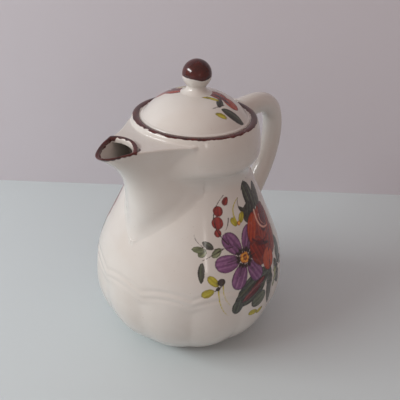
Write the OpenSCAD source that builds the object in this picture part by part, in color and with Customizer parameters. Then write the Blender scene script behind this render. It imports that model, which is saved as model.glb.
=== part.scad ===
// Chocolate pot in glazed earthenware: a bellied pot with a beak spout luted to its neck, a looped
// handle and a lift-off domed lid with a ball knob.
// Millimetres. The pot stands on Z = 0 with its axis on the origin, the spout towards -X and the
// handle towards +X.

/* [Belly] */
// Largest radius of the belly
belly_r = 57.5; // [54:0.5:60]
// Height of the widest point
belly_z = 38; // [36:0.5:40]
// Radius of the curve from the widest point down to the foot
lower_curve_r = 44.3; // [44:0.1:48]
// Radius of the curve from the widest point up to the shoulder
upper_curve_r = 70; // [66:1:74]
// Lean of the straight shoulder, in degrees from upright
shoulder_lean = 25.2; // [24:0.1:26.5]
// Thickness of the fired wall
wall = 4.2; // [3.5:0.1:5]

/* [Moulded panels] */
// Number of panels round the lower belly
panels = 12; // [10:1:14]
// Depth of the valleys between the panels
panel_depth = 1.3; // [0.6:0.1:1.6]
// Height of the upper arched groove in the middle of a panel
arch_z = 54.9; // [53:0.1:57]
// Drop of an arched groove from the middle of a panel to its ends
arch_drop = 3.2; // [2:0.1:4]
// Distance of the lower arched groove below the upper one
arch_gap = 4.5; // [4:0.1:5]
// Depth of the arched grooves
groove_depth = 0.5; // [0.3:0.05:0.8]
// Half width of the arched grooves
groove_w = 1.3; // [1:0.1:1.5]

/* [Foot] */
// Outer radius of the foot where it rests
foot_r = 36.4; // [34:0.1:37]
// Width of the resting face
foot_face_w = 3.6; // [2.5:0.1:5]
// Depth of the hollow inside the foot ring
foot_hollow = 2.4; // [1.5:0.1:3.5]

/* [Neck and collar] */
// Radius at the narrowest point of the neck
neck_r = 32.8; // [31:0.1:34]
// Height of the narrowest point of the neck
neck_z = 108.5; // [106:0.5:110]
// Radius of the hollow curve round the neck
neck_curve_r = 10; // [8:0.5:11]
// Radius of the roll under the collar
collar_roll_r = 6; // [5:0.1:7]
// Radius of the gentle curve up the face of the collar
collar_face_r = 48; // [44:1:60]
// Height of the rim
rim_z = 137; // [135:0.5:139]
// Radius of the rounded edges of the rim
rim_round = 1.2; // [0.8:0.1:1.5]
// Radius of the mouth below the lid seat
mouth_r = 27; // [26:0.1:28]
// Depth of the recess that takes the edge of the lid
seat_depth = 2.6; // [2.2:0.1:3.2]

/* [Spout] */
// Reach of the beak from the axis of the pot
beak_reach = 70.8; // [66:0.1:72]
// Height of the flat roof of the spout
roof_z = 133.8; // [133:0.1:134.5]
// Distance of the keel from the axis below the beak
keel_r = 46; // [45:0.1:47]
// Height where the keel starts to sweep out to the beak
keel_sweep_z = 85; // [80:1:92]
// Sharpness of the sweep to the beak
keel_power = 3.2; // [2.6:0.1:3.8]
// Half width of the spout where it meets the neck
spout_half_w = 25.2; // [24:0.1:26]
// Height of the lowest point where the spout meets the belly
spout_foot_z = 75; // [72:0.5:78]
// Height where the spout is widest
spout_wide_z = 110; // [106:0.5:114]
// Thickness of the spout wall
spout_wall = 2.6; // [2.2:0.1:3]
// Share of the beak's width that rounds its tip, against the share that flares
beak_bluntness = 0.64; // [0.55:0.01:0.75]
// Distance of the back of the pouring mouth from the axis
pour_back = 47.4; // [46.5:0.1:49]
// Radius of the back of the pouring mouth
pour_back_r = 12; // [10:0.5:14]
// Width of the raised lip round the pouring mouth
lip_w = 2.6; // [2:0.1:3]
// Rise of that lip above the roof at its back
lip_rise = 1.6; // [0.5:0.1:2]
// Dip of the lip below the roof at the tip of the beak
lip_dip = 0.9; // [0:0.1:1.5]
// Radius of the hole through the neck behind the spout
way_r = 10; // [8:0.5:12]
// Height of the middle of that hole
way_z = 114; // [110:0.5:118]

/* [Handle] */
// Thickness of the handle across its loop
handle_w = 12.4; // [11:0.1:14]
// Reach of the middle of the handle from the axis of the pot
handle_reach = 76; // [72:0.5:80]
// Height of the middle of the handle where it leaves the collar
handle_top_z = 127; // [125:0.5:129]
// Height of the middle of the handle where it meets the belly
handle_low_z = 60; // [58:0.5:64]
// How much thicker the handle is where it is luted on
handle_flare = 0.3; // [0.1:0.05:0.4]

/* [Lid] */
// Radius of the edge of the lid
lid_r = 30.3; // [29.8:0.1:30.5]
// Rise of the dome above its edge
dome_h = 13; // [10:0.5:13.5]
// Fullness of the dome: 2 is a parabola, more is flatter on top
dome_power = 2.8; // [2:0.1:3.2]
// Width of the flat edge round the dome
lid_edge_w = 1.3; // [1:0.1:2]
// Thickness of the lid
lid_wall = 3.4; // [3:0.1:4]
// Outer radius of the ring that locates the lid in the mouth
lid_ring_r = 26.2; // [25:0.1:26.5]
// Depth of the locating ring below the rim
lid_ring_h = 9; // [7:0.5:11]
// Radius of the ball knob
knob_r = 8; // [7.3:0.1:8.2]
// Height of the middle of the ball knob
knob_z = 159.9; // [159.5:0.1:162]
// Radius of the neck under the ball
knob_neck_r = 5.4; // [4.8:0.1:6]
// Radius of the hollow curve where that neck meets the dome
knob_flare_r = 2.4; // [1:0.1:3]

/* [Hidden] */
$fn = 96;

glaze = [0.86, 0.83, 0.79];
maroon = [0.30, 0.10, 0.10];

// Axes of the curves that make the outline of the belly
lower_axis = belly_r - lower_curve_r;
upper_axis = belly_r - upper_curve_r;
// Axes of the roll and the face of the collar, each starting where the curve below it ends
roll_angle = 45;
roll_x = neck_r + neck_curve_r - (neck_curve_r + collar_roll_r) * cos(roll_angle);
roll_z = neck_z + (neck_curve_r + collar_roll_r) * sin(roll_angle);
face_x = roll_x + collar_roll_r - collar_face_r;
face_end = asin((rim_z - rim_round - roll_z) / collar_face_r);
rim_r = face_x + collar_face_r * cos(face_end) - rim_round;
seat_z = rim_z - seat_depth;
seat_r = lid_r + 0.45;
floor_z = foot_hollow + wall;
foot_curve_z = 1.5;

function arc(x, z, r, from, to, steps) =
    [for (i = [0 : steps]) let (a = from + (to - from) * i / steps) [x + r * cos(a), z + r * sin(a)]];
function lower_from(inset, z) = -asin((belly_z - z) / (lower_curve_r - inset));

// Curve of the wall from a height up to the neck, drawn inward by a distance for its inside
function wall_line(inset, from_z) = concat(
    arc(lower_axis, belly_z, lower_curve_r - inset, lower_from(inset, from_z), 0, 12),
    arc(upper_axis, belly_z, upper_curve_r - inset, shoulder_lean / 7, shoulder_lean, 6),
    arc(neck_r + neck_curve_r, neck_z, neck_curve_r + inset, 180 + shoulder_lean, 180, 3));

// Outline of the plain upper part, from above the panels to the rim
shoulder_z = arch_z + 3;
shoulder_line = concat(
    arc(upper_axis, belly_z, upper_curve_r, asin((shoulder_z - belly_z) / upper_curve_r), shoulder_lean, 5),
    arc(neck_r + neck_curve_r, neck_z, neck_curve_r, 180 + shoulder_lean, 180, 3));
collar_line = concat(
    arc(neck_r + neck_curve_r, neck_z, neck_curve_r, 180 - roll_angle / 4, 180 - roll_angle, 3),
    arc(roll_x, roll_z, collar_roll_r, -roll_angle * 3 / 4, 0, 3),
    arc(face_x, roll_z, collar_face_r, face_end / 4, face_end, 3),
    arc(rim_r, rim_z - rim_round, rim_round, 30, 90, 2));

module upper_form() {
    rotate_extrude() polygon(concat([[0, shoulder_z]], shoulder_line, collar_line, [[0, rim_z]]));
}

// The moulded lower part: rings of points whose upper rows follow the arched grooves.
// A row is its height, its share of the arch's drop, of the groove's depth and of the panel's,
// and how far it stands proud
function belly_wall(z) = z < foot_curve_z
    ? foot_r + (belly_wall(foot_curve_z) - foot_r) * z / foot_curve_z
    : z < belly_z ? lower_axis + sqrt(pow(lower_curve_r, 2) - pow(belly_z - z, 2))
    : upper_axis + sqrt(pow(upper_curve_r, 2) - pow(z - belly_z, 2));
panel_top = arch_z - arch_gap - groove_w;
panel_rows = [for (k = [0 : 10]) let (up = k / 10, z = foot_curve_z + (panel_top - foot_curve_z) * up)
    [z, up * up, 0, min(0.5 + up * 2, 1) * min(1, 0.25 + (1 - up) * 5), 0]];
groove_rows = [for (z = [arch_z - arch_gap, arch_z]) each [for (k = [-2 : 2])
    if (z == arch_z || k > -2) [z + groove_w * k / 2, 1, 1 - k * k / 4, 0, 0]]];
rows = concat([[-1, 0, 0, 0, 0]], panel_rows, groove_rows,
              [[arch_z + 3.5, 0.2, 0, 0, 0.12], [arch_z + 7, 0, 0, 0, -0.4]]);
panel_steps = 8;

function panel_point(row, i) = let (
        across = abs((i + panel_steps / 2) % panel_steps - panel_steps / 2) * 2 / panel_steps,
        z = row[0] - arch_drop * across * across * row[1],
        r = belly_wall(z) + row[4] - groove_depth * row[2] - panel_depth * across * across * row[3],
        turn = 180 + 360 * i / panel_steps / panels)
    [r * cos(turn), r * sin(turn), z];

module lower_form() {
    width = panels * panel_steps;
    last = len(rows) - 1;
    points = [for (row = rows) for (i = [0 : width - 1]) panel_point(row, i)];
    sides = [for (k = [0 : last - 1]) for (i = [0 : width - 1])
        let (a = k * width + i, b = k * width + (i + 1) % width)
        each [[a, a + width, b], [b, a + width, b + width]]];
    bottom = [[for (i = [0 : width - 1]) i]];
    top = [[for (i = [width - 1 : -1 : 0]) last * width + i]];
    intersection() {
        polyhedron(points, concat(sides, bottom, top));
        translate([-2 * belly_r, -2 * belly_r, 0]) cube(4 * belly_r);
    }
}

module hollow_form() {
    rotate_extrude() polygon(concat([[0, floor_z]], wall_line(wall, floor_z), [[mouth_r, neck_z + 3],
        [mouth_r, seat_z], [seat_r, seat_z], [seat_r, rim_z + 1], [0, rim_z + 1]]));
}

module pot_body() {
    color(glaze) difference() {
        union() {
            upper_form();
            lower_form();
        }
        hollow_form();
        cylinder(r = foot_r - foot_face_w, h = 2 * foot_hollow, center = true);
        translate([-50, 0, way_z]) rotate([0, 90, 0]) cylinder(r = way_r, h = 30);
    }
}

// Level sections of the spout. Each side runs from the keel to the point where it meets the pot:
// blunt under the beak, and at the roof a rounded beak that flares out to the collar
function sweep_share(z) = max(0, (z - keel_sweep_z) / (roof_z - keel_sweep_z));
function keel_x(z) = keel_r + (beak_reach - keel_r) * pow(sweep_share(z), keel_power);
function depth_share(z) = max(0, (spout_wide_z - z) / (spout_wide_z - spout_foot_z));
function rise_share(z) = max(0, (z - spout_wide_z) / (roof_z - spout_wide_z));
function side_w(z) = spout_half_w * (1 - pow(depth_share(z), 2));
function side_x(z) = 21 + 26 * pow(depth_share(z), 1.15) + 6 * rise_share(z);
function bluntness(z) = 1 - (1 - beak_bluntness) * rise_share(z);
spout_back = 12;
section_steps = 12;

function spout_side(z, inset, way) = let (
        nose = keel_x(z) - inset,
        w = max(0.5, side_w(z) - inset),
        run = nose - side_x(z) + inset / 2)
    [for (i = [1 : section_steps]) let (t = sin(90 * i / section_steps))
        [-nose + run * t * t, way * w * (bluntness(z) * t + (1 - bluntness(z)) * pow(t, 6)), z]];
function spout_section(z, inset) = concat([[-keel_x(z) + inset, 0, z]],
    spout_side(z, inset, -1), [[-spout_back, -max(0.5, side_w(z) - inset), z]],
    [[-spout_back, max(0.5, side_w(z) - inset), z]],
    [for (i = [section_steps - 1 : -1 : 0]) spout_side(z, inset, 1)[i]]);

module spout_loft(from_z, to_z, levels, inset) {
    width = 2 * section_steps + 3;
    rings = [for (k = [0 : levels]) spout_section(from_z + (to_z - from_z) * k / levels, inset)];
    points = [for (ring = rings) for (p = ring) p];
    sides = [for (k = [0 : levels - 1]) for (i = [0 : width - 1])
        let (a = k * width + i, b = k * width + (i + 1) % width)
        each [[a, a + width, b], [b, a + width, b + width]]];
    bottom = [[for (i = [0 : width - 1]) i]];
    roof = [[for (i = [width - 1 : -1 : 0]) levels * width + i]];
    polyhedron(points, concat(sides, bottom, roof));
}

// Upright column over the pouring mouth, or over its lip when grown
module mouth_column(grow) {
    translate([0, 0, roof_z - 12]) {
        translate([-pour_back - pour_back_r, 0, 0]) cylinder(r = pour_back_r + grow, h = 20);
        translate([-beak_reach - 5, -20, 0]) cube([beak_reach + 5 - pour_back - pour_back_r, 40, 20]);
    }
}

// The hollow runs under the roof and up through it where the mouth is open
module spout_hollow() {
    intersection() {
        spout_loft(spout_foot_z + 12, roof_z + 3, 13, spout_wall);
        union() {
            translate([-beak_reach, -40, 0]) cube([beak_reach, 80, roof_z - spout_wall]);
            mouth_column(0);
        }
    }
}

// The roof is level but for the lip, which slopes down from its back to the tip of the beak
module spout() {
    lip_slope = atan((lip_rise + lip_dip) / (beak_reach - pour_back + lip_w));
    color(glaze) difference() {
        spout_loft(spout_foot_z, roof_z + 3, 16, 0);
        difference() {
            translate([-beak_reach - 5, -40, roof_z]) cube([beak_reach + 5, 80, 10]);
            mouth_column(lip_w);
        }
        translate([-beak_reach, -30, roof_z - lip_dip]) rotate([0, -lip_slope, 0])
            translate([-10, 0, 0]) cube([70, 60, 12]);
        upper_form();
        spout_hollow();
    }
}

// The handle is swept along two curves that meet at its widest reach
grip_z = (handle_top_z + handle_low_z) / 2 + 12;
upper_route = [[32, handle_top_z], [56, handle_top_z + 6], [handle_reach, handle_top_z + 5],
               [handle_reach, grip_z]];
lower_route = [[handle_reach, grip_z], [handle_reach, grip_z - 18], [66, handle_low_z + 12],
               [48, handle_low_z - 4]];
handle_steps = 12;
handle_sides = 16;

function bezier(c, t) = pow(1 - t, 3) * c[0] + 3 * t * pow(1 - t, 2) * c[1]
    + 3 * t * t * (1 - t) * c[2] + pow(t, 3) * c[3];
function bezier_run(c, t) = pow(1 - t, 2) * (c[1] - c[0]) + 2 * t * (1 - t) * (c[2] - c[1])
    + t * t * (c[3] - c[2]);
function handle_ring(c, t, along) = let (
        mid = bezier(c, t),
        run = bezier_run(c, t) / norm(bezier_run(c, t)),
        r = handle_w / 2 * (1 + handle_flare * pow(abs(2 * along - 1), 4)))
    [for (i = [0 : handle_sides - 1]) let (a = 360 * i / handle_sides)
        [mid[0] - run[1] * r * cos(a), r * sin(a), mid[1] + run[0] * r * cos(a)]];

module handle() {
    rings = concat(
        [for (k = [0 : handle_steps]) handle_ring(upper_route, k / handle_steps, k / handle_steps / 2)],
        [for (k = [1 : handle_steps]) handle_ring(lower_route, k / handle_steps,
                                                  0.5 + k / handle_steps / 2)]);
    last = len(rings) - 1;
    points = [for (ring = rings) for (p = ring) p];
    sides = [for (k = [0 : last - 1]) for (i = [0 : handle_sides - 1])
        let (a = k * handle_sides + i, b = k * handle_sides + (i + 1) % handle_sides)
        each [[a, a + handle_sides, b], [b, a + handle_sides, b + handle_sides]]];
    start_cap = [[for (i = [0 : handle_sides - 1]) i]];
    end_cap = [[for (i = [handle_sides - 1 : -1 : 0]) last * handle_sides + i]];
    color(glaze) difference() {
        polyhedron(points, concat(sides, start_cap, end_cap));
        upper_form();
        lower_form();
    }
}

dome_r = lid_r - lid_edge_w;
edge_z = rim_z + 0.3;
dome_steps = 10;
function dome_z(r) = edge_z + dome_h * (1 - pow(r / dome_r, dome_power));

module lid_form() {
    rotate_extrude() polygon(concat([[0, seat_z], [lid_r, seat_z], [lid_r, edge_z - 0.8],
        [lid_r - 0.5, edge_z - 0.2], [dome_r + 0.3, edge_z - 0.2]],
        [for (i = [dome_steps : -1 : 0]) let (r = dome_r * i / dome_steps) [r, dome_z(r)]]));
}

module lid() {
    inner_r = lid_ring_r - lid_wall;
    color(glaze) difference() {
        union() {
            lid_form();
            translate([0, 0, rim_z - lid_ring_h]) cylinder(r = lid_ring_r, h = lid_ring_h);
        }
        rotate_extrude() polygon(concat([[0, 0], [inner_r, 0]],
            [for (i = [dome_steps : -1 : 0]) let (r = inner_r * i / dome_steps)
                [r, dome_z(r) - lid_wall]]));
    }
}

module knob() {
    spread_r = knob_neck_r + knob_flare_r;
    neck_top = knob_z - sqrt(pow(knob_r, 2) - pow(knob_neck_r, 2));
    color(maroon) difference() {
        union() {
            translate([0, 0, knob_z]) sphere(knob_r);
            rotate_extrude() polygon(concat([[0, edge_z], [spread_r, edge_z]],
                arc(spread_r, dome_z(spread_r) + knob_flare_r, knob_flare_r, 270, 180, 5),
                [[knob_neck_r, neck_top], [0, neck_top]]));
        }
        lid_form();
    }
}

pot_body();
spout();
handle();
lid();
knob();
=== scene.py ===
"""The chocolate pot's looks: glazed earthenware with moulded panels, a maroon rim and painted flowers.

Shapes are worked out in millimetres and turned into metres when a mesh is made.
"""

import math

import bpy
import numpy as np
from mathutils import Matrix, Vector


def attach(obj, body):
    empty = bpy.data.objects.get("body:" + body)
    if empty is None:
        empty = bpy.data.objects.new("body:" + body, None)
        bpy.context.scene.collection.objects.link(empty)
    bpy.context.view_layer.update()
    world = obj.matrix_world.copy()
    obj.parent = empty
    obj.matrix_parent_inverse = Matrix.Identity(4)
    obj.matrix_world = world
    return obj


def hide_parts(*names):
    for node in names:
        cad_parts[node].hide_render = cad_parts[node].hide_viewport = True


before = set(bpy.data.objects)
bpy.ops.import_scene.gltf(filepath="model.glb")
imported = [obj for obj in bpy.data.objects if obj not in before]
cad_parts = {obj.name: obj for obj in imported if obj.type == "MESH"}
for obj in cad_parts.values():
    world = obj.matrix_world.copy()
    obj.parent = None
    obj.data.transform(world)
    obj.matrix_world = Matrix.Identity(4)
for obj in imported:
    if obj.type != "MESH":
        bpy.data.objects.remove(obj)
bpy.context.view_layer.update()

# The photograph's view: position, turn and lens of its camera
YAW, PITCH, ROLL = math.radians(0.950), math.radians(29.796), math.radians(2.979)
CAMERA_AT = (0.0, -306.86, 258.445)
FOCAL_PX, IMAGE_PX = 593.02, 400
SPOUT_TURN = math.radians(-48)

# Sizes in millimetres, most of them as in the CAD model. These follow the photograph more closely instead:
# the beak's reach, the mouth's back edge, the lip's dip, the roof's edge, the depth of panels and grooves,
# and the knob's skirt. The way that the CAD model has from the spout through the neck isn't cut here
BELLY_R, BELLY_Z = 57.5, 38.0
LOWER_R, UPPER_R, LEAN = 44.3, 70.0, 25.2
WALL, FOOT_R, FOOT_FACE, FOOT_HOLLOW = 4.2, 36.4, 3.6, 2.4
NECK_R, NECK_Z, NECK_CURVE = 32.8, 108.5, 10.0
ROLL_R, FACE_R, RIM_Z, RIM_ROUND = 6.0, 48.0, 137.0, 1.2
MOUTH_R, SEAT_Z = 27.0, 134.4
BEAK_REACH, ROOF_Z, KEEL_R, KEEL_SWEEP_Z, KEEL_POWER = 71.9, 133.8, 46.0, 85.0, 3.2
SPOUT_W, SPOUT_FOOT_Z, SPOUT_WIDE_Z, SPOUT_WALL, BLUNT = 25.2, 75.0, 110.0, 2.6, 0.64
POUR_BACK, POUR_BACK_R, POUR_ASIDE, ROOF_WALL = 48.5, 12.5, 2.0, 1.7
LIP_W, LIP_RISE, LIP_DIP = 2.6, 1.6, 1.7
LID_R, DOME_R, DOME_H, DOME_POWER, EDGE_Z = 30.3, 29.0, 13.0, 2.8, 137.3
LID_RING_R, LID_RING_H, LID_WALL, LID_GAP = 26.2, 9.0, 3.4, 0.45
KNOB_R, KNOB_Z, KNOB_NECK, KNOB_SKIRT = 8.0, 159.9, 5.4, 10.4
HANDLE_TOP_Z, HANDLE_LOW_Z, HANDLE_REACH, HANDLE_R, HANDLE_FLARE = 127, 60, 76, 6.2, 0.3

SPOUT_CELL, HANDLE_CELL = 0.5, 0.6
COARSE = 1


# Meshes

def smooth_mesh(name, points, faces, material, body, replaces):
    """A smooth-shaded piece from points in millimetres, put on its body in place of a CAD node."""
    mesh = bpy.data.meshes.new(name)
    points = np.asarray(points, float) / 1000
    faces = [tuple(f) for f in faces]
    mesh.from_pydata(points.tolist(), [], faces)
    mesh.validate()
    mesh.update()
    mesh.polygons.foreach_set("use_smooth", [True] * len(mesh.polygons))
    mesh.materials.append(material)
    obj = bpy.data.objects.new(name, mesh)
    bpy.context.scene.collection.objects.link(obj)
    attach(obj, body)
    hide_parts(replaces)
    return obj


def grid_faces(rows, cols):
    """Quads of a grid that closes on itself along its columns."""
    i = np.arange(rows - 1)[:, None] * cols
    j = np.arange(cols)[None, :]
    k = (np.arange(cols)[None, :] + 1) % cols
    return np.stack([i + j, i + k, i + cols + k, i + cols + j], -1).reshape(-1, 4).tolist()


def revolved(profile, cols):
    """Rings of a profile that starts and ends on the axis."""
    profile = np.asarray(profile, float)
    angle = np.arange(cols) * 2 * math.pi / cols
    inner = profile[1:-1]
    x = inner[:, :1] * np.cos(angle)
    y = inner[:, :1] * np.sin(angle)
    z = np.repeat(inner[:, 1:], cols, axis=1)
    points = np.stack([x, y, z], -1).reshape(-1, 3)
    return points, capped(points, len(inner), cols)


def capped(points, rows, cols):
    """Faces of a closed grid with a fan at each end, whose two centres follow the grid's own points."""
    faces = grid_faces(rows, cols)
    first, last = len(points), len(points) + 1
    top = (rows - 1) * cols
    faces += [(first, (j + 1) % cols, j) for j in range(cols)]
    faces += [(last, top + j, top + (j + 1) % cols) for j in range(cols)]
    return faces


def arc(x, z, r, start, stop, steps):
    """Points of an arc about a centre, between two angles in degrees."""
    a = np.radians(np.linspace(start, stop, steps + 1))
    return np.stack([x + r * np.cos(a), z + r * np.sin(a)], -1)


def respaced(line, step):
    """A polyline with its points about a step apart, given as a number or as a function of height."""
    line = np.asarray(line, float)
    gap = np.linalg.norm(np.diff(line, axis=0), axis=1)
    keep = np.concatenate([[True], gap > 1e-6])
    line = line[keep]
    length = np.concatenate([[0], np.cumsum(np.linalg.norm(np.diff(line, axis=0), axis=1))])
    dense = np.linspace(0, length[-1], int(length[-1] / 0.05) + 2)
    r = np.interp(dense, length, line[:, 0])
    z = np.interp(dense, length, line[:, 1])
    spacing = step(z) if callable(step) else np.full_like(z, step)
    count = np.concatenate([[0], np.cumsum(np.diff(dense) / ((spacing[1:] + spacing[:-1]) / 2))])
    at = np.linspace(0, count[-1], int(round(count[-1])) + 1)
    where = np.interp(at, count, dense)
    return np.stack([np.interp(where, dense, r), np.interp(where, dense, z)], -1)


def smoothstep(x):
    """A soft step from 0 to 1."""
    x = np.clip(x, 0, 1)
    return x * x * (3 - 2 * x)


# The painted flowers

LAYERS = ("leaf", "sage", "lime", "purple", "rose", "plum", "blush", "berry", "yellow", "line")

# Turns round the pot and the lid at which the paintings stand, in degrees, and how high and how far out
BOUQUETS, FLOWER_Z = (-100.0, 95.0), 70.0
SPRIGS, SPRIG_R = (-80.0, 98.0), 16.0

# Depths inside a stroke are kept between two limits, a point just outside still takes the stroke's tone, and
# a point that carries no painting lies far off the sheet
DEPTH_LIMIT, TONE_REACH, OFF_SHEET = 2.0, -0.3, -999

LINE_STEPS = 16
PAINT_ATTRIBUTES = 4


class Painting:
    """Brush strokes on a flat drawing in millimetres, u to the right and v up.

    A layer holds how far each point lies inside its strokes. The tone runs from 0 in the dark parts
    of a stroke to 1 in its light parts.
    """

    def __init__(self, u, v):
        self.u, self.v = u, v
        self.depth = np.full((len(LAYERS), len(u)), -DEPTH_LIMIT)
        self.tone = np.full(len(u), 0.5)

    def lay(self, layer, inside, tone):
        """Adds a stroke to its layer, over the strokes that are already there."""
        row = self.depth[LAYERS.index(layer)]
        np.maximum(row, np.clip(inside, -DEPTH_LIMIT, DEPTH_LIMIT), out=row)
        self.tone = np.where(inside > TONE_REACH, np.clip(tone, 0, 1), self.tone)

    def along(self, at, turn):
        """Each point's place along and across a stroke."""
        a = math.radians(turn)
        du, dv = self.u - at[0], self.v - at[1]
        return du * math.cos(a) + dv * math.sin(a), dv * math.cos(a) - du * math.sin(a)

    def petal(self, layer, at, turn, length, width, taper, light):
        """A rounded stroke with streaks along it and a darker edge."""
        s, t = self.along(at, turn)
        s = s / (length / 2)
        half = width / 2 * (1 + taper * np.clip(s, -1, 1))
        inside = (1 - np.hypot(s, t / half)) * min(length, width) / 2
        streak = 0.2 * np.cos(2.3 * t + at[0]) + 0.12 * np.cos(4.1 * t + at[1]) + 0.12 * s
        self.lay(layer, inside, (light + streak) * smoothstep((inside + 0.1) / 0.9))

    def leaf(self, layer, at, turn, length, width, bend=0.0, light=0.5):
        """A pointed stroke from its base, bent sideways towards its tip."""
        s, t = self.along(at, turn)
        x = np.clip(s / length, 0, 1)
        aside = t - bend * x * x
        beyond = np.maximum(np.maximum(-s, s - length), 0)
        inside = (width / 2 * (4 * x * (1 - x)) ** 0.65 - np.abs(aside)) * 0.85 - beyond
        streak = 0.22 * np.cos(1.6 * aside + at[0]) + 0.15 * np.cos(3.7 * aside + at[1])
        self.lay(layer, inside, (light + streak) * smoothstep(inside + 0.2))

    def line(self, layer, start, bow, end, half=0.38, light=0.4):
        """A thin stroke along a curve, thinner towards its end."""
        t = np.linspace(0, 1, LINE_STEPS + 1)[:, None]
        curve = (1 - t) ** 2 * np.array(start) + 2 * t * (1 - t) * np.array(bow) + t * t * np.array(end)
        near = np.full(len(self.u), 9.0)
        for k in range(LINE_STEPS):
            run = curve[k + 1] - curve[k]
            du, dv = self.u - curve[k][0], self.v - curve[k][1]
            share = np.clip((du * run[0] + dv * run[1]) / (run @ run), 0, 1)
            away = np.hypot(du - share * run[0], dv - share * run[1])
            near = np.minimum(near, away + half * 0.5 * (k + share) / LINE_STEPS)
        self.lay(layer, half - near, light)

    def over(self, other):
        """This painting with another one laid over it."""
        self.tone = np.where(other.depth.max(0) > TONE_REACH, other.tone, self.tone)
        self.depth = np.maximum(self.depth, other.depth)
        return self

    def store(self, mesh):
        """Keeps layers and tone on the mesh, three rows to an attribute, and leaves further points bare."""
        rows = np.concatenate([self.depth, [self.tone], [self.tone]])
        for k in range(PAINT_ATTRIBUTES):
            values = np.full((len(mesh.vertices), 3), -DEPTH_LIMIT)
            values[:rows.shape[1]] = rows[3 * k:3 * k + 3].T
            attribute = mesh.attributes.new(f"paint_{k}", "FLOAT_VECTOR", "POINT")
            attribute.data.foreach_set("vector", values.ravel())


def paint_on(mesh, sheets, draw):
    """Draws the same painting on each sheet of flat places, and stores them together on the mesh."""
    painting = None
    for u, v in sheets:
        sheet = Painting(u, v)
        draw(sheet)
        painting = sheet if painting is None else painting.over(sheet)
    painting.store(mesh)


def polar(at, turn, r):
    """The point at a turn in degrees and a distance from another."""
    return at[0] + r * math.cos(math.radians(turn)), at[1] + r * math.sin(math.radians(turn))


def open_flower(p, at):
    """Six purple petals, and then a dark line along each of them."""
    turns = [2 + 60 * k for k in range(6)]
    for turn in turns:
        p.petal("purple", polar(at, turn, 11.0), turn, 15.5, 9.8, 0.2, 0.5)
    for turn in turns:
        p.line("line", polar(at, turn - 14, 4), polar(at, turn - 5, 7), polar(at, turn - 3, 11), 0.34, 0.3)


def flower_eye(p, at):
    """A yellow eye with a dark middle and a ring of dark dabs round it."""
    p.petal("yellow", at, 0, 6.8, 6.8, 0, 0.75)
    p.petal("yellow", polar(at, 20, 0.4), 0, 2.6, 3.0, 0, 0.12)
    for k in range(14):
        turn = 12 + 360 * k / 14
        p.petal("line", polar(at, turn, 4.2 + 0.3 * (k % 3)), turn, 2.7, 1.8, 0, 0.35)


def rose(p, at):
    """An open rose of overlapping lobes: dark in its heart, light along the petals' edges."""
    x, y = at
    p.petal("rose", (x + 2, y + 3), 82, 30, 24, -0.1, 0.5)
    p.petal("rose", (x - 7, y - 5), 112, 18, 13, 0, 0.32)
    p.petal("rose", (x - 8, y + 9), 68, 17, 9, 0.1, 0.8)
    p.petal("rose", (x + 9, y - 5), 60, 17, 12, 0, 0.42)
    p.petal("rose", (x + 1, y - 13), 88, 13, 12, 0, 0.95)
    p.petal("plum", (x + 5, y + 10), 75, 16, 10, 0, 0.45)
    p.petal("plum", (x - 1, y - 3), 160, 12, 1.8, 0, 0.3)
    p.line("plum", (x - 10, y + 3), (x - 2, y - 5), (x + 11, y + 1), 0.6, 0.3)
    p.line("plum", (x + 3, y - 9), (x + 9, y - 6), (x + 12, y + 8), 0.5, 0.3)
    p.line("blush", (x - 3, y + 17), (x - 3, y + 4), (x + 9, y + 3), 0.75, 0.7)
    p.line("blush", (x + 1, y + 13), (x, y + 8), (x + 6, y + 5), 0.4, 0.5)


def berries(p, at, sizes):
    """Red berries one above another, leaning to the right, with a bud at the top."""
    x, y = at
    p.line("line", (x + 4.5, y - 5), (x - 7.5, y + 11), (x + 8, y + 22), 0.42)
    for size in sizes:
        y += 0.97 * size
        p.petal("berry", (x, y), 80, 2 * size, 1.9 * size, 0, 0.5)
        x, y = x + 0.5 * size, y + 0.97 * size
    p.petal("berry", (x + 4, y + 1.8), 55, 5.4, 3.6, -0.3, 0.4)


def spray(p, start, end, pairs, length, width, layers):
    """Leaves on both sides of a stem's line by turns, and one at its end."""
    turn = math.degrees(math.atan2(end[1] - start[1], end[0] - start[0]))
    for k in range(pairs):
        t = (k + 1) / (pairs + 0.6)
        at = start[0] + (end[0] - start[0]) * t, start[1] + (end[1] - start[1]) * t
        side_turn = turn + 38 * (-1) ** k
        p.leaf(layers[k % len(layers)], at, side_turn, length * (1 - 0.08 * k), width, 0, 0.5)
    p.leaf(layers[0], polar(end, turn, -2), turn, length, width * 0.9)


# Start, bow and end of each dark line among the bouquet's leaves
STALKS = (
    ((-6, 8), (-14, 8), (-26, 10)), ((-12, 8), (-20, 5), (-25, 3)), ((-7, 9), (-9, 13), (-9, 18)),
    ((-22, 10), (-27, 13), (-26, 19)), ((8, 36), (11, 44), (17, 39)), ((4, 26), (2, 30), (4, 33)),
    ((20, -10), (20, -18), (17, -28)), ((-17, -12), (-19, -14), (-23, -15)),
    ((-5, 24), (-6, 20), (-8, 18)), ((14, 22), (15, 30), (13, 38)), ((21, 21), (22, 28), (20, 34)))


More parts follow.
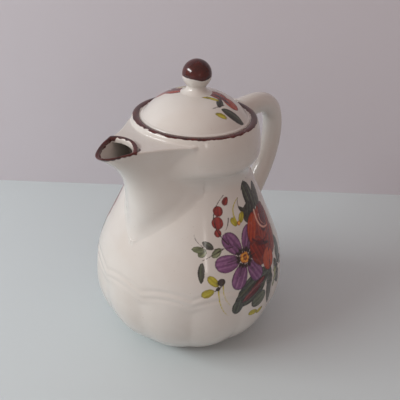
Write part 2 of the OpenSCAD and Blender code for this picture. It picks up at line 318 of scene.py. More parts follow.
def bouquet(p):
    """A country bouquet: an open purple flower, a rose, berries and buds among leaves."""
    spray(p, (-9, 8.5), (-24, 9), 3, 7.5, 4.2, ("sage", "leaf"))
    p.leaf("leaf", (-25, 2), 245, 12, 3.8, 1.8)
    p.leaf("leaf", (16, 20), 101, 21, 9.5, 1.5)
    p.leaf("leaf", (22, 19), 96, 17, 8.5, -1.0)
    p.petal("leaf", (10, 22.5), 65, 11.5, 10, 0, 0.3)
    p.leaf("leaf", (9, 23), 150, 8, 2.8, -1.5)
    p.leaf("leaf", (18, -14), 196, 31, 16, 5.0)
    p.petal("leaf", (-7.5, -27.5), 255, 11, 8, 0.1, 0.45)
    p.petal("leaf", (8, -29), 20, 12.5, 9, 0, 0.85)
    for at, turn, length in (((20, -13), 262, 25), ((26, -12), 285, 21),
                             ((30, -8), 300, 17), ((34, -2), 272, 18)):
        p.leaf("leaf", at, turn, length, 7.5, 1.5)
    p.leaf("sage", (27, -16), 268, 15, 4.6, -1.0, 0.85)
    for at, turn, size in (((-2, 21), 118, 6), ((3.5, 22), 62, 6.5), ((-21.5, -9), 128, 8),
                           ((-25.5, -15.5), 200, 8), ((4, -37), 170, 7), ((9.5, -38), 200, 6)):
        p.petal("lime", at, turn, size, size * 0.6, 0.1, 0.5)
    p.line("lime", (0, 20), (-4, 29), (4, 33), 0.5, 0.6)
    p.line("lime", (-19, -13), (-21, -25), (-14, -32), 0.5, 0.7)
    p.line("lime", (-16, -10), (-18, -19), (-13, -25), 0.45, 0.75)
    open_flower(p, (0, 0))
    rose(p, (18.5, 4.5))
    p.leaf("plum", (14, -17), 197, 21, 5.4, 3.5, 0.55)
    berries(p, (-13, 14.8), (2.2, 3.5, 3.0))
    p.petal("yellow", (1, 19.5), 90, 2.8, 2.4, 0, 0.7)
    flower_eye(p, (0, 0))
    p.petal("line", (-17, -10), 20, 4.8, 4.2, 0, 0.35)
    p.petal("line", (-19.5, -13.5), 30, 2.8, 2.2, 0, 0.3)
    for start, bow, end in STALKS:
        p.line("line", start, bow, end, 0.36)


def sprig(p):
    """A small red bloom with leaves and yellow-green strokes, on the lid."""
    p.leaf("leaf", (-5, 3), 55, 13, 5.2, -1.0)
    p.leaf("leaf", (2, -2), 150, 8, 3.8, 0.5)
    for at, turn in (((-1, -11), 62), ((-3.5, -7), 58), ((-8, 5), 50), ((-2, -4), 60)):
        p.petal("lime", at, turn, 6.5, 2.6, 0.1, 0.6)
    p.petal("rose", (4.5, -5), 76, 11, 9, -0.1, 0.5)
    p.petal("rose", (5.5, 2.5), 84, 9, 8, 0, 0.75)
    p.petal("plum", (3.5, -2), 84, 9, 2.4, 0, 0.5)
    for start, bow, end in (((3, -3), (0, 1), (-6, 1)), ((-1, 2), (-6, 1), (-9, 0)),
                            ((1, -2), (0, -4), (1, -8))):
        p.line("line", start, bow, end, 0.42)


# The pot's body

LOWER_AXIS, UPPER_AXIS = BELLY_R - LOWER_R, BELLY_R - UPPER_R
ROLL_X = NECK_R + NECK_CURVE - (NECK_CURVE + ROLL_R) * math.cos(math.radians(45))
ROLL_Z = NECK_Z + (NECK_CURVE + ROLL_R) * math.sin(math.radians(45))
FACE_X = ROLL_X + ROLL_R - FACE_R
FACE_END = math.degrees(math.asin((RIM_Z - RIM_ROUND - ROLL_Z) / FACE_R))
RIM_R = FACE_X + FACE_R * math.cos(math.radians(FACE_END)) - RIM_ROUND
FOOT_ROUND, FOOT_INNER_ROUND, WALL_FROM_Z = 0.9, 0.7, 1.5


def wall_line(inset, from_z):
    """The wall's curve from a height up to the neck, moved inwards for its inside."""
    start = -math.degrees(math.asin((BELLY_Z - from_z) / (LOWER_R - inset)))
    return np.concatenate([
        arc(LOWER_AXIS, BELLY_Z, LOWER_R - inset, start, 0, 60),
        arc(UPPER_AXIS, BELLY_Z, UPPER_R - inset, 0, LEAN, 40)[1:],
        arc(NECK_R + NECK_CURVE, NECK_Z, NECK_CURVE + inset, 180 + LEAN, 180, 16)])


def outside_line():
    """The outline from the middle of the foot's hollow, over the belly, to the top of the rim."""
    foot = [[0, FOOT_HOLLOW], [FOOT_R - FOOT_FACE - 1.2, FOOT_HOLLOW]]
    ring = arc(FOOT_R - FOOT_ROUND, FOOT_ROUND, FOOT_ROUND, -90, -30, 5)
    inner_r = FOOT_R - FOOT_FACE + FOOT_INNER_ROUND
    inner_ring = arc(inner_r, FOOT_INNER_ROUND, FOOT_INNER_ROUND, 180, 270, 5)
    return np.concatenate([
        foot, inner_ring, ring, wall_line(0, WALL_FROM_Z),
        arc(NECK_R + NECK_CURVE, NECK_Z, NECK_CURVE, 180, 135, 16)[1:],
        arc(ROLL_X, ROLL_Z, ROLL_R, -45, 0, 12)[1:],
        arc(FACE_X, ROLL_Z, FACE_R, 0, FACE_END, 16)[1:],
        arc(RIM_R, RIM_Z - RIM_ROUND, RIM_ROUND, FACE_END, 90, 8)[1:]])


def inside_line():
    """The inside from the rim, by way of the lid's seat and the mouth, to the middle of the floor."""
    seat_r = LID_R + LID_GAP
    down = [[seat_r + 0.5, RIM_Z], [seat_r, RIM_Z - 0.5], [seat_r, SEAT_Z], [MOUTH_R + 0.7, SEAT_Z],
            [MOUTH_R, SEAT_Z - 0.7], [MOUTH_R, NECK_Z + 3]]
    floor_z = FOOT_HOLLOW + WALL
    return np.concatenate([down, wall_line(WALL, floor_z + 0.6)[::-1], [[0, floor_z]]])


PANELS = 12
PANEL_TURN = 360 / PANELS
PANEL_DEPTH, VALLEY_TOP, VALLEY_ROUND = 0.98, 1.14, 0.0064
PANEL_END, PANEL_FADE = 0.8, 6.0
FOOT_SHARE, FOOT_GAIN, FOOT_Z, FOOT_FADE = 0.55, 0.45, 2, 12
ARCH_Z, ARCH_DROP, ARCH_GAP = 54.9, 3.2, 4.5
GROOVE_DEPTH, GROOVE_W = 0.4, 1.15


def relief(angle, z):
    """How far the moulded panels and the two arched grooves lie under the plain outline."""
    half = PANEL_TURN / 2
    across = (np.degrees(angle) + 180 + half) % PANEL_TURN - half
    t = np.abs(across) / half
    arch = ARCH_Z - ARCH_DROP * t ** 2
    low = arch - ARCH_GAP
    valley = VALLEY_TOP - np.sqrt((1 - t) ** 2 + VALLEY_ROUND)
    at_foot = FOOT_SHARE + FOOT_GAIN * smoothstep((z - FOOT_Z) / FOOT_FADE)
    fade = smoothstep((low + PANEL_END - z) / PANEL_FADE) * at_foot
    slope = 1 / np.sqrt(1 + (2 * ARCH_DROP * t / half) ** 2)
    groove = sum(np.exp(-((z - line) * slope / GROOVE_W) ** 2) for line in (arch, low))
    return PANEL_DEPTH * valley ** 2 * fade + GROOVE_DEPTH * groove


# Start, end and number of columns of each run round the pot, in degrees
COLUMN_RUNS = ((-135, -45, 140), (-45, 60, 56), (60, 150, 92), (150, 225, 40))

# Height and depth of each throwing line on the collar, and their width
THROWING_LINES, THROWING_W = ((122.7, 0.13), (121.2, 0.08)), 0.45

FOOT_ROWS_Z, PAINTED_Z, COLLAR_LINES_Z = 2.3, (29, 105), (119.5, 124.5)
INSIDE_GAP = 5.0


def column_angles():
    """Angles round the pot, closer together where the flowers are painted."""
    runs = [np.linspace(a, b, n, endpoint=False) for a, b, n in COLUMN_RUNS]
    return np.radians(np.concatenate(runs))


def throwing_lines(z):
    """Depth of the collar's throwing lines at a height."""
    return sum(deep * np.exp(-((z - line) / THROWING_W) ** 2) for line, deep in THROWING_LINES)


def row_gap(z):
    """How far apart the outside's rows are: close at the foot, on the throwing lines and under the paint."""
    painted = (z > PAINTED_Z[0]) & (z < PAINTED_Z[1])
    fine = (z > COLLAR_LINES_Z[0]) & (z < COLLAR_LINES_Z[1])
    return np.select([z < FOOT_ROWS_Z, fine, painted, z < PAINTED_Z[0]], [0.6, 0.35, 0.64, 1.3], 0.9)


def pot_body(material):
    """The thrown and moulded pot, one closed skin from the foot over the rim to the floor inside."""
    outside = respaced(outside_line(), row_gap)
    inside = respaced(inside_line(), INSIDE_GAP)
    angle = column_angles()
    line = np.concatenate([outside[1:], inside[:-1]])
    out = np.arange(len(line)) < len(outside) - 1
    r = line[:, :1] + np.zeros((1, len(angle)))
    z = line[:, 1:] + np.zeros((1, len(angle)))
    run = np.gradient(line, axis=0)
    run /= np.linalg.norm(run, axis=1)[:, None]
    carved = out[:, None] & (line[:, :1] > FOOT_R - 1)
    depth = (relief(angle[None, :], z) + throwing_lines(z)) * carved
    foot = smoothstep((z - 0.2) / 1.5)
    lower = r - depth * foot * run[:, 1:]
    raised = z + depth * foot * run[:, :1]
    points = np.stack([lower * np.cos(angle), lower * np.sin(angle), raised], -1).reshape(-1, 3)
    faces = capped(points, len(line), len(angle))
    points = np.concatenate([points, [[0, 0, outside[0, 1]], [0, 0, inside[-1, 1]]]])
    obj = smooth_mesh("pot_body_glazed", points, faces, material, "pot", "pot_body")

    # The bouquets' own places: along the wall from their middle, and round it
    up = np.cumsum(np.hypot(*np.gradient(line, axis=0).T)) * out
    above_foot = slice(len(outside) // 3, None)
    up = up - np.interp(FLOWER_Z, line[out][:, 1][above_foot], up[out][above_foot])
    v = np.where(out & (line[:, 1] > BELLY_Z / 2), up, OFF_SHEET)[:, None] + np.zeros((1, len(angle)))
    turn = np.degrees(angle)[None, :]
    around = [np.radians((turn - centre + 180) % 360 - 180) * r for centre in BOUQUETS]
    paint_on(obj.data, [(u.ravel(), v.ravel()) for u in around], bouquet)


# Pieces made as the zero surface of a field

def smooth_min(a, b, k):
    """The lesser of two fields, rounded over where they are less than k apart."""
    h = np.clip(1 - np.abs(a - b) / k, 0, 1)
    return np.minimum(a, b) - h * h * k / 4


def smooth_max(a, b, k):
    """The greater of two fields, rounded over likewise."""
    return -smooth_min(-a, -b, k)


def gradient(field, p, e=0.02):
    """A field's slope at each point, by differences over a short way."""
    return np.stack([(field(p + d) - field(p - d)) / (2 * e) for d in np.eye(3) * e], -1)


def surface_net(field, low, high, step):
    """Points and quads of a field's zero surface, one point in each cell that the surface crosses."""
    axes = [np.arange(a, b + step, step) for a, b in zip(low, high)]
    grid = np.stack(np.meshgrid(*axes, indexing="ij"), -1)
    f = field(grid.reshape(-1, 3)).reshape(grid.shape[:3])
    n = np.array(f.shape) - 1
    corner = {c: f[c[0]:n[0] + c[0], c[1]:n[1] + c[1], c[2]:n[2] + c[2]]
              for c in [(i, j, k) for i in (0, 1) for j in (0, 1) for k in (0, 1)]}
    inside = sum((v < 0).astype(int) for v in corner.values())
    cell = np.argwhere((inside > 0) & (inside < 8))
    index = -np.ones(n, int)
    index[tuple(cell.T)] = np.arange(len(cell))
    total, count = np.zeros((len(cell), 3)), np.zeros(len(cell))
    for a in corner:
        for axis in range(3):
            if a[axis]:
                continue
            b = tuple(1 if i == axis else v for i, v in enumerate(a))
            fa, fb = corner[a][tuple(cell.T)], corner[b][tuple(cell.T)]
            cross = (fa < 0) != (fb < 0)
            t = np.where(cross, fa / np.where(cross, fa - fb, 1), 0)
            at = np.array(a, float) + t[:, None] * np.eye(3)[axis]
            total += at * cross[:, None]
            count += cross
    points = np.array(low) + (cell + total / count[:, None]) * step
    quads = []
    for axis in range(3):
        u, v = (axis + 1) % 3, (axis + 2) % 3
        lower = [slice(1, -1)] * 3
        lower[axis] = slice(0, -1)
        upper = [slice(1, -1)] * 3
        upper[axis] = slice(1, None)
        fa, fb = f[tuple(lower)] < 0, f[tuple(upper)] < 0
        for flip in (False, True):
            edge = np.argwhere(fb & ~fa if flip else fa & ~fb)
            edge[:, u] += 1
            edge[:, v] += 1
            du, dv = np.eye(3, dtype=int)[u], np.eye(3, dtype=int)[v]
            ring = [index[tuple((edge - off).T)] for off in (du + dv, dv, 0 * du, du)]
            quad = np.stack(ring[::-1] if flip else ring, -1)
            quads.append(quad)
    return points, np.concatenate(quads)


SETTLE_ROUNDS, SETTLE_STEP = 4, 0.3


def settled(points, field):
    """Points moved onto the field's zero surface, a short step at a time."""
    for _ in range(SETTLE_ROUNDS):
        g = gradient(field, points)
        size = (g * g).sum(1) + 1e-9
        move = (field(points) / size)[:, None] * g
        length = np.linalg.norm(move, axis=1)[:, None]
        points = points - move * np.minimum(1, SETTLE_STEP / np.maximum(length, 1e-9))
    return points


def field_piece(name, form, blend, box, step, material, node):
    """A piece luted to the pot, its normals taken from the unbroken joint wherever that is what shows."""
    def field(p):
        return luted(form, blend, p)

    def shown(p):
        return smooth_min(form(p), from_body(p), blend(p))

    low, high = box
    points, quads = surface_net(field, low, high, step)
    points = settled(points, field)
    obj = smooth_mesh(name, points, quads, material, "pot", node)
    on_joint = np.abs(shown(points)) < ON_JOINT
    normal = np.where(on_joint[:, None], gradient(shown, points), gradient(field, points))
    normal /= np.maximum(np.linalg.norm(normal, axis=1), 1e-9)[:, None]
    obj.data.normals_split_custom_set_from_vertices(normal.tolist())
    return obj, points


def wall_table():
    """The wall's radius and slope at even heights, without the foot."""
    line = outside_line()
    line = line[line[:, 1] > 20]
    order = np.argsort(line[:, 1])
    z, r = line[order, 1], line[order, 0]
    even = np.arange(21, 135.9, 0.1)
    r = np.interp(even, z, r)
    return even, r, np.gradient(r, even)


WALL_Z, WALL_AT, WALL_SLOPE = wall_table()
RELIEF_TOP_Z = 64

# Width of the fillets, how deep a luted piece goes into the wall, and how near counts as on the joint
FILLET_W, LUTED_DEPTH, ON_JOINT = 3.4, 0.9, 0.08

# A fillet's thin edge sinks a little into the wall, over this part of its width, and then ends
SINK, SINK_FROM, SINK_OVER, FILLET_END = 0.05, 0.62, 0.25, 0.96


def from_body(p):
    """Distance outside the pot's wall."""
    z = p[:, 2]
    radius = np.hypot(p[:, 0], p[:, 1])
    slope = np.interp(z, WALL_Z, WALL_SLOPE)
    sunk = np.where(z < RELIEF_TOP_Z, relief(np.arctan2(p[:, 1], p[:, 0]), z), 0)
    return (radius + sunk - np.interp(z, WALL_Z, WALL_AT)) / np.sqrt(1 + slope * slope)


def spout_blend(p):
    """Width of the spout's fillet, narrower towards the roof."""
    return FILLET_W - 2.5 * smoothstep((p[:, 2] - 120) / 12)


def handle_blend(p):
    """Width of the handle's fillet, narrower at its upper end."""
    return FILLET_W - 1.0 * smoothstep((p[:, 2] - 110) / 10)


def luted(form, blend, p):
    """A form with a soft fillet where it meets the pot, cut off inside the pot's wall."""
    own, wall, k = form(p), from_body(p), blend(p)
    joined = smooth_min(own, wall, k) + SINK * smoothstep((own / k - SINK_FROM) / SINK_OVER)
    return np.maximum(joined, np.maximum(-(wall + LUTED_DEPTH), own - k * FILLET_END))


# The spout

SIDE_X, SIDE_SWEEP, SIDE_POWER, SIDE_RISE = 21, 26, 1.15, 6
FOOT_SOFT, ROOF_SOFT, HOLLOW_SOFT, LIP_SOFT = 3.6, 1.2, 1.3, 1.2

# The beak's far side swells a little at one place near the roof
FAR_SWELL, FAR_AT, FAR_SPREAD = 0.8, 57, 7

SPOUT_BOX = (-72.5, -31, 71), (-20, 31, 136)


def spout_levels(z, inset):
    """Reach, half width, run of the sides and bluntness of the spout's level section at a height."""
    sweep = np.maximum(0, (z - KEEL_SWEEP_Z) / (ROOF_Z - KEEL_SWEEP_Z))
    depth = np.clip((SPOUT_WIDE_Z - z) / (SPOUT_WIDE_Z - SPOUT_FOOT_Z), 0, 1)
    rise = np.maximum(0, (z - SPOUT_WIDE_Z) / (ROOF_Z - SPOUT_WIDE_Z))
    nose = KEEL_R + (BEAK_REACH - KEEL_R) * sweep ** KEEL_POWER - inset
    half = np.maximum(0.5, SPOUT_W * (1 - depth ** 2) - inset)
    side = SIDE_X + SIDE_SWEEP * depth ** SIDE_POWER + SIDE_RISE * rise
    return nose, half, nose - side + inset / 2, 1 - (1 - BLUNT) * rise


def spout_shell(p, inset):
    """How far a point lies outside the spout's side walls."""
    def level(q):
        nose, half, run, blunt = spout_levels(q[:, 2], inset)
        y = q[:, 1]
        near_roof = smoothstep((q[:, 2] - 124) / 9)
        swell = FAR_SWELL * np.exp(-((-q[:, 0] - FAR_AT) / FAR_SPREAD) ** 2) * near_roof * (y > 0)
        share = np.maximum(np.abs(y) - swell * smoothstep(np.abs(y) / 6), 0) / half

        # Newton's method for blunt * t + (1 - blunt) * t ** 6 = share
        t = np.minimum(share, 1.6)
        for _ in range(5):
            t = t - (blunt * t + (1 - blunt) * t ** 6 - share) / (blunt + 6 * (1 - blunt) * t ** 5)
        return -q[:, 0] - nose + run * t * t

    value = level(p)
    g = gradient(level, p, 0.05)
    curved = value / np.maximum(np.linalg.norm(g, axis=1), 0.4)
    flank = np.abs(p[:, 1]) - spout_levels(p[:, 2], inset)[1]
    corner = 2.5 - 1.5 * smoothstep((p[:, 2] - 122) / 8)
    return smooth_max(smooth_max(curved, flank, corner), SPOUT_FOOT_Z - p[:, 2], FOOT_SOFT)


def mouth_back(p):
    """How far a point lies behind the mouth's round back edge."""
    x, y = -p[:, 0] - POUR_BACK - POUR_BACK_R, p[:, 1] - POUR_ASIDE
    return np.where(x < 0, np.hypot(x, y) - POUR_BACK_R, np.abs(y) - 30)


def from_mouth(p):
    """How far a point lies outside the pouring mouth, as drawn on the roof."""
    level = np.array(p)
    level[:, 2] = ROOF_Z
    return np.maximum(spout_shell(level, SPOUT_WALL), mouth_back(p))


def lip_top(p):
    """Height of the roof, raised round the mouth and falling towards the beak's tip."""
    s = -p[:, 0]
    rise = (BEAK_REACH - s) * (LIP_RISE + LIP_DIP) / (BEAK_REACH - POUR_BACK + LIP_W) - LIP_DIP
    return ROOF_Z + rise * smoothstep((LIP_W + 0.7 - from_mouth(p)) / LIP_SOFT)


def spout_form(p):
    """The spout with its roof, open at the mouth and hollow behind it."""
    outer = smooth_max(spout_shell(p, 0), p[:, 2] - lip_top(p), ROOF_SOFT)
    inner = spout_shell(p, SPOUT_WALL)
    hollow = np.maximum(inner, np.minimum(p[:, 2] - (ROOF_Z - ROOF_WALL), mouth_back(p)))
    return smooth_max(outer, -hollow, HOLLOW_SOFT)


def lip_paint(p):
    """How far a point lies inside the painted band round the lip, in millimetres.

    The band runs from a bare inner edge, which the paint passes at the front, to an outer edge with a tail
    at the near end. It drops down the outside, more under the tip and on the far side. All its edges waver.
    """
    s, y = -p[:, 0], p[:, 1]
    mouth = np.maximum(spout_shell(p, SPOUT_WALL), mouth_back(p))
    wave = 0.25 * np.cos(1.9 * s + 1.3 * y) + 0.15 * np.cos(3.1 * y - 1.2 * s)
    front = smoothstep((s + 0.9 * y - 56) / 6)
    bare = 0.2 - 0.9 * front + 0.5 * np.exp(-((s - 51) / 4) ** 2 - ((y - 1) / 5) ** 2)
    tail = 2.3 * np.exp(-((s - 51.5) / 3.4) ** 2 - ((y + 8.7) / 1.2) ** 2)
    under = smoothstep((s - 62) / 6) * smoothstep(mouth)
    drop = 1.3 + 1.1 * under + 0.7 * smoothstep((y - 3) / 3)
    flat = np.minimum(mouth - bare, LIP_W + 0.2 + tail - mouth) + wave
    return np.minimum(flat, p[:, 2] - lip_top(p) + drop + wave)


def spout(material):
    """The beak spout, with the depth inside its lip's paint kept on the mesh."""
    obj, points = field_piece("spout_beak", spout_form, spout_blend, SPOUT_BOX, COARSE * SPOUT_CELL,
                              material, "spout")
    near = np.full(len(points), -DEPTH_LIMIT)
    high = points[:, 2] > ROOF_Z - 6
    near[high] = np.clip(lip_paint(points[high]), -DEPTH_LIMIT, DEPTH_LIMIT)
    obj.data.attributes.new("lip", "FLOAT", "POINT").data.foreach_set("value", near)


# Handle, lid and knob

def bezier(c, count):
    """Points of a cubic curve from its four control points."""
    c, t = np.asarray(c, float), np.linspace(0, 1, count)[:, None]
    return (1 - t) ** 3 * c[0] + 3 * t * (1 - t) ** 2 * c[1] + 3 * t * t * (1 - t) * c[2] + t ** 3 * c[3]


GRIP_Z = (HANDLE_TOP_Z + HANDLE_LOW_Z) / 2 + 12
HANDLE_STEPS = 60
HANDLE_LINE = np.concatenate([
    bezier([[32, HANDLE_TOP_Z], [56, HANDLE_TOP_Z + 6], [HANDLE_REACH, HANDLE_TOP_Z + 5],
            [HANDLE_REACH, GRIP_Z]], HANDLE_STEPS),
    bezier([[HANDLE_REACH, GRIP_Z], [HANDLE_REACH, GRIP_Z - 18], [66, HANDLE_LOW_Z + 12],
            [48, HANDLE_LOW_Z - 4]], HANDLE_STEPS)[1:]])
HANDLE_BOX = (27, -14, 42), (83.5, 14, 141)


def handle_form(p):
    """The looped handle: a round strap along its middle line, flared at both ends."""
    flat, back = np.unique(np.round(p[:, [0, 2]], 6), axis=0, return_inverse=True)
    a, b = HANDLE_LINE[:-1], HANDLE_LINE[1:]
    run = b - a
    best, where = np.full(len(flat), 1e9), np.zeros(len(flat))
    for i in range(len(run)):
        t = np.clip(((flat - a[i]) @ run[i]) / (run[i] @ run[i]), 0, 1)
        d = np.hypot(*(flat - a[i] - t[:, None] * run[i]).T)
        near = d < best
        best, where = np.where(near, d, best), np.where(near, i + t, where)
    along = where / len(run)
    radius = HANDLE_R * (1 + HANDLE_FLARE * np.abs(2 * along - 1) ** 4)
    return np.hypot(best[back.ravel()], p[:, 1]) - radius[back.ravel()]


def handle(material):
    """The looped handle, luted to the collar and the belly."""
    field_piece("handle_loop", handle_form, handle_blend, HANDLE_BOX, COARSE * HANDLE_CELL,
                material, "handle")


LID_COLUMNS, LID_ROW_GAP, KNOB_COLUMNS, KNOB_ROW_GAP = 300, 0.55, 120, 0.35
RING_ROUND, FLANGE_ROUND, EDGE_ROUND = 0.8, 0.7, 0.8
LID_LINE_DEPTH, LID_LINE_R, LID_LINE_W = 0.12, 27.4, 0.5


def dome_z(r):
    """Height of the lid's dome, with one throwing line near its edge."""
    throwing_line = LID_LINE_DEPTH * np.exp(-((r - LID_LINE_R) / LID_LINE_W) ** 2)
    return EDGE_Z + DOME_H * (1 - (r / DOME_R) ** DOME_POWER) - throwing_line


def closed_revolve(name, line, cols, material, node):
    """A piece of the lid, turned from a line that starts and ends on the axis."""
    points, faces = revolved(line, cols)
    points = np.concatenate([points, [[0, 0, line[0][1]], [0, 0, line[-1][1]]]])
    return smooth_mesh(name, points, faces, material, "lid", node)


def lid(material):
    """The domed lid with its flange and locating ring, and a painted sprig on both sides."""
    inner_r = LID_RING_R - LID_WALL
    r_in = np.linspace(0, inner_r, 24)
    under = np.stack([r_in, dome_z(r_in) - LID_WALL], -1)
    r_out = np.linspace(DOME_R, 0, 60)
    top = np.stack([r_out, dome_z(r_out)], -1)
    low = RIM_Z - LID_RING_H
    line = np.concatenate([
        under,
        arc(inner_r + RING_ROUND, low + RING_ROUND, RING_ROUND, 180, 270, 6),
        arc(LID_RING_R - RING_ROUND, low + RING_ROUND, RING_ROUND, 270, 360, 6),
        [[LID_RING_R, SEAT_Z - 0.6], [LID_RING_R + 0.5, SEAT_Z]],
        arc(LID_R - FLANGE_ROUND, SEAT_Z + FLANGE_ROUND, FLANGE_ROUND, 270, 360, 5),
        arc(LID_R - EDGE_ROUND, EDGE_Z - 1.0, EDGE_ROUND, 0, 90, 6),
        [[DOME_R + 0.35, EDGE_Z - 0.28]],
        top])
    line = respaced(line, LID_ROW_GAP)
    obj = closed_revolve("lid_dome", line, LID_COLUMNS, material, "lid")
    place = np.empty(len(obj.data.vertices) * 3)
    obj.data.vertices.foreach_get("co", place)
    x, y, z = place.reshape(-1, 3).T * 1000
    sheets = []
    for turn in SPRIGS:
        a = math.radians(turn)
        u, v = y * math.cos(a) - x * math.sin(a), x * math.cos(a) + y * math.sin(a) - SPRIG_R
        sheets.append((u, np.where(z > EDGE_Z - 0.1, v, OFF_SHEET)))
    paint_on(obj.data, sheets, sprig)


def knob(material):
    """The ball knob on its waisted neck, with a soft skirt down to the dome."""
    ball_start = -math.degrees(math.acos(KNOB_NECK / KNOB_R))
    waist_z = KNOB_Z - math.sqrt(KNOB_R ** 2 - KNOB_NECK ** 2)
    skirt = bezier([[KNOB_SKIRT, dome_z(KNOB_SKIRT) - 0.06], [KNOB_SKIRT - 2.6, dome_z(KNOB_SKIRT) + 0.1],
                    [KNOB_NECK - 0.9, waist_z - 2.2], [KNOB_NECK, waist_z]], 30)
    line = np.concatenate([
        [[0, dome_z(0) - 1], [KNOB_SKIRT - 0.8, dome_z(KNOB_SKIRT) - 0.5]], skirt,
        arc(0, KNOB_Z, KNOB_R, ball_start, 90, 48)[1:]])
    line = respaced(line, KNOB_ROW_GAP)
    line[-1, 0] = 0
    closed_revolve("knob_ball", line, KNOB_COLUMNS, material, "knob")


# Materials

def linear(*rgb):
    """A colour from its usual 0 to 255, in the linear values that a shader takes."""
    return tuple((c / 255 / 12.92 if c <= 10 else ((c / 255 + 0.055) / 1.055) ** 2.4) for c in rgb) + (1.0,)


class Nodes:
    """A material with short ways to add and join its nodes."""

    def __init__(self, name):
        self.material = bpy.data.materials.new(name)
        self.material.use_nodes = True
        self.tree = self.material.node_tree
        self.shader = self.tree.nodes["Principled BSDF"]
        self.place = self.add("ShaderNodeTexCoord").outputs["Object"]

    def add(self, kind, inputs=None, **props):
        node = self.tree.nodes.new(kind)
        for key, value in props.items():
            setattr(node, key, value)
        for key, value in (inputs or {}).items():
            self.put(node.inputs[key], value)
        return node

    def put(self, socket, value):
        if isinstance(value, bpy.types.NodeSocket):
            self.tree.links.new(value, socket)
        else:
            socket.default_value = value

    def math(self, kind, a, b):
        return self.add("ShaderNodeMath", {0: a, 1: b}, operation=kind).outputs[0]

    def noise(self, scale, detail=2.0, rough=0.5):
        inputs = {"Vector": self.place, "Scale": scale, "Detail": detail, "Roughness": rough}
        return self.add("ShaderNodeTexNoise", inputs).outputs["Fac"]

    def waver(self, width, scale, rough=0.5):
        """Noise about zero, over a whole width."""
        centred = self.math("SUBTRACT", self.noise(scale, rough=rough), 0.5)
        return self.math("MULTIPLY", centred, width)

    def ramp(self, value, low, high):
        """How far a value has come from low to high, from 0 to 1."""
        node = self.add("ShaderNodeMapRange", {"Value": value, "From Min": low, "From Max": high})
        return node.outputs["Result"]

    def mix(self, fac, a, b):
        node = self.add("ShaderNodeMix", data_type="RGBA")
        for key, value in ((0, fac), (6, a), (7, b)):
            self.put(node.inputs[key], value)
        return node.outputs[2]


CREAM = linear(209, 207, 202)
CREAM_LOW = linear(202, 197, 190)
MAROON = linear(82, 24, 18)
MAROON_LOW = linear(50, 14, 12)
IRON_SPOT = linear(150, 128, 110)
SATIN, GLOSS = 0.2, 0.1
GLAZE_IOR, COAT, COAT_ROUGH = 1.5, 0.15, 0.04
BUMP, BUMP_DISTANCE = 0.05, 0.001
SPOT_COVER = 0.35

# How much the paint's edges and tones waver, and how far it is thinned
EDGE_WAVER, TONE_WAVER, THINNING = 0.55, 0.5, 0.08
PAINT_EDGE, LIP_EDGE, LIP_WAVER = (-0.14, 0.2), (-0.1, 0.15), 0.7

# Where the rim's and the knob's paint sets in, and how far its edge wavers, in metres
RIM_PAINT_Z, RIM_PAINT_R, RIM_WAVER = (0.13635, 0.13655), (0.0306, 0.0308), 0.0018
KNOB_PAINT_Z, KNOB_WAVER = (0.1592, 0.1594), 0.0012

# The knob's paint dips a little lower towards one side
KNOB_DIP_TURN, KNOB_DIP_AT, KNOB_DIP = math.radians(-112), (0.006, 0.0078), 0.0009

# Dark, plain and light tone of each paint
PAINTS = {
    "leaf": (linear(22, 24, 22), linear(46, 51, 42), linear(88, 97, 76)),
    "sage": (linear(64, 70, 50), linear(108, 118, 86), linear(158, 162, 124)),
    "lime": (linear(118, 110, 24), linear(170, 160, 28), linear(200, 190, 72)),
    "purple": (linear(56, 30, 58), linear(116, 67, 116), linear(160, 114, 154)),
    "rose": (linear(92, 22, 20), linear(134, 36, 20), linear(176, 66, 18)),
    "plum": (linear(54, 18, 28), linear(94, 34, 42), linear(140, 74, 72)),
    "blush": (linear(176, 104, 84), linear(206, 150, 130), linear(224, 184, 168)),
    "berry": (linear(80, 14, 18), linear(134, 22, 20), linear(164, 50, 38)),
    "yellow": (linear(104, 44, 12), linear(206, 132, 38), linear(232, 184, 76)),
    "line": (linear(34, 24, 24), linear(48, 36, 34), linear(80, 66, 50)),
}


def shaded(n, tone, tones):
    """A paint's colour at a tone."""
    dark, plain_tone, light = tones
    half = n.mix(n.ramp(tone, 0.0, 0.5), dark, plain_tone)
    return n.mix(n.ramp(tone, 0.5, 1.0), half, light)


def flowers(n, colour):
    """The painting: each layer's strokes with brushed edges, over the glaze's own colour."""
    parts = []
    for k in range(PAINT_ATTRIBUTES):
        vector = n.add("ShaderNodeAttribute", attribute_name=f"paint_{k}").outputs["Vector"]
        parts += list(n.add("ShaderNodeSeparateXYZ", {"Vector": vector}).outputs)
    frayed = n.waver(EDGE_WAVER, 1100.0, 0.6)
    tone = n.math("ADD", parts[len(LAYERS)], n.waver(TONE_WAVER, 700.0))
    thin = n.ramp(n.noise(420.0), 0.2, 0.9)
    cover = n.math("SUBTRACT", 1.0, n.math("MULTIPLY", thin, THINNING))
    for depth, layer in zip(parts, LAYERS):
        edge = n.ramp(n.math("ADD", depth, frayed), *PAINT_EDGE)
        colour = n.mix(n.math("MULTIPLY", edge, cover), colour, shaded(n, tone, PAINTS[layer]))
    return colour


def maroon_colour(n):
    """Maroon paint in faint clouds of two tones."""
    return n.mix(n.ramp(n.noise(190.0, 3.0, 0.6), 0.35, 0.68), MAROON, MAROON_LOW)


def rim_band(n):
    """Paint on the top of the rim, from the lid's seat to the rounded outer edge."""
    parts = n.add("ShaderNodeSeparateXYZ", {"Vector": n.place}).outputs
    flat = n.add("ShaderNodeCombineXYZ", {"X": parts[0], "Y": parts[1]}).outputs[0]
    radius = n.add("ShaderNodeVectorMath", {0: flat}, operation="LENGTH").outputs["Value"]
    over = n.ramp(n.math("ADD", parts[2], n.waver(RIM_WAVER, 230.0, 0.55)), *RIM_PAINT_Z)
    return n.math("MULTIPLY", over, n.ramp(radius, *RIM_PAINT_R))


